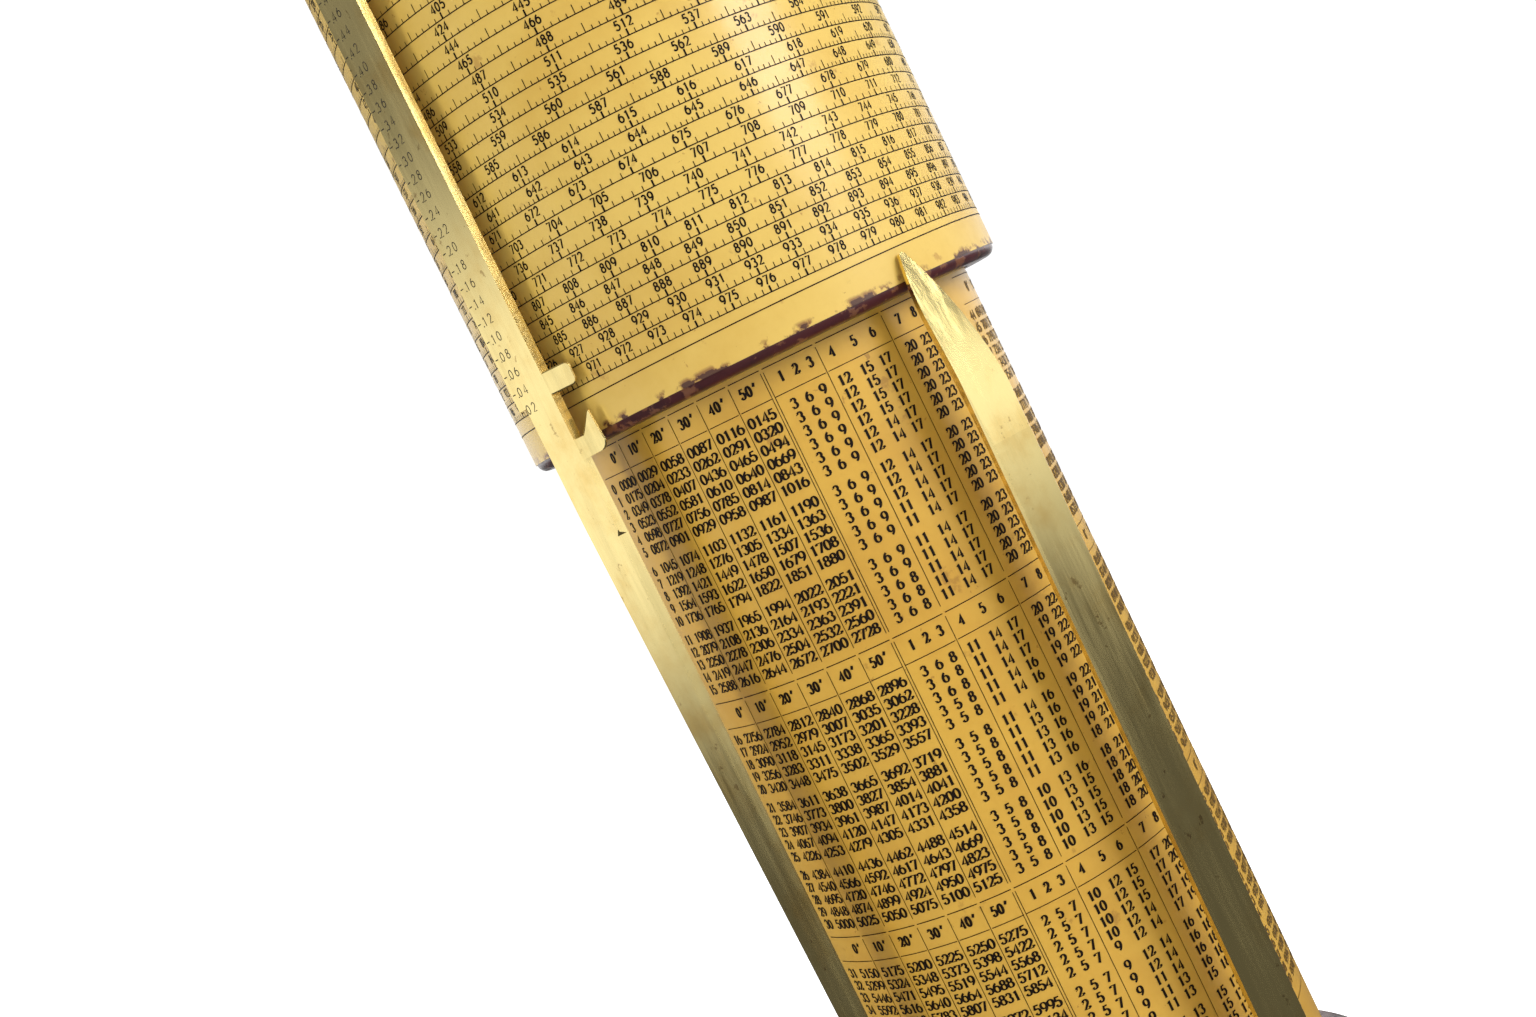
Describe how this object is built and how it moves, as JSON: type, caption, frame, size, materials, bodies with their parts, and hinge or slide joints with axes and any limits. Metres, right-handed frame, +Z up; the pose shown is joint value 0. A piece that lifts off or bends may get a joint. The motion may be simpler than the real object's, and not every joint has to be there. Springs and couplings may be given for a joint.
{
  "type": "cylindrical slide rule",
  "caption": "Hand-held spiral-scale calculating cylinder that slides and turns on a wooden-handled tube, with a telescoping brass index bar and a fixed brass pointer.",
  "frame": {"origin": "centre of the handle's flat end, on the axis of the tubes", "axes": "+Z up the axis of the tubes, away from the handle; -Y is the side the reader faces"},
  "size_m": [0.088, 0.088, 0.4273],
  "materials": {
    "mahogany": "polished",
    "brass": "polished, lightly tarnished",
    "steel": "satin",
    "papier_mache": "painted at the ends",
    "printed_paper": "varnished",
    "felt": "matt"
  },
  "bodies": {
    "holder": {"handle_grip": "mahogany", "handle_flange": "mahogany", "stand_socket": "brass", "core_screw": "steel", "holder_tube": "papier_mache", "holder_paper": "printed_paper", "holder_brads": "brass", "holder_lining": "felt", "fixed_pointer": "brass", "pointer_screws": "brass"},
    "scale_carrier": {"scale_lining_lower": "felt", "scale_lining_upper": "felt"},
    "scale_cylinder": {"scale_tube": "papier_mache", "scale_paper": "printed_paper"},
    "index_carrier": {"inner_lining": "felt"},
    "index_tube": {"inner_tube": "papier_mache", "inner_paper": "printed_paper", "top_cap": "mahogany", "cap_brads": "brass", "index_bar": "brass", "upper_index": "brass", "lower_index": "brass", "reading_tongue": "brass", "bar_screws": "brass"}
  },
  "joints": [
    {"name": "scale_slide", "type": "slide", "parent": "holder", "child": "scale_carrier", "axis": [0, 0, 1], "range_m": [-0.142, 0.003]},
    {"name": "scale_turn", "type": "hinge", "parent": "scale_carrier", "child": "scale_cylinder", "pos_m": [0, 0, 0], "axis": [0, 0, 1], "continuous": true},
    {"name": "index_slide", "type": "slide", "parent": "holder", "child": "index_carrier", "axis": [0, 0, 1], "range_m": [0, 0.1418]},
    {"name": "index_turn", "type": "hinge", "parent": "index_carrier", "child": "index_tube", "pos_m": [0, 0, 0], "axis": [0, 0, 1], "range_deg": [-263, 66]}
  ]
}
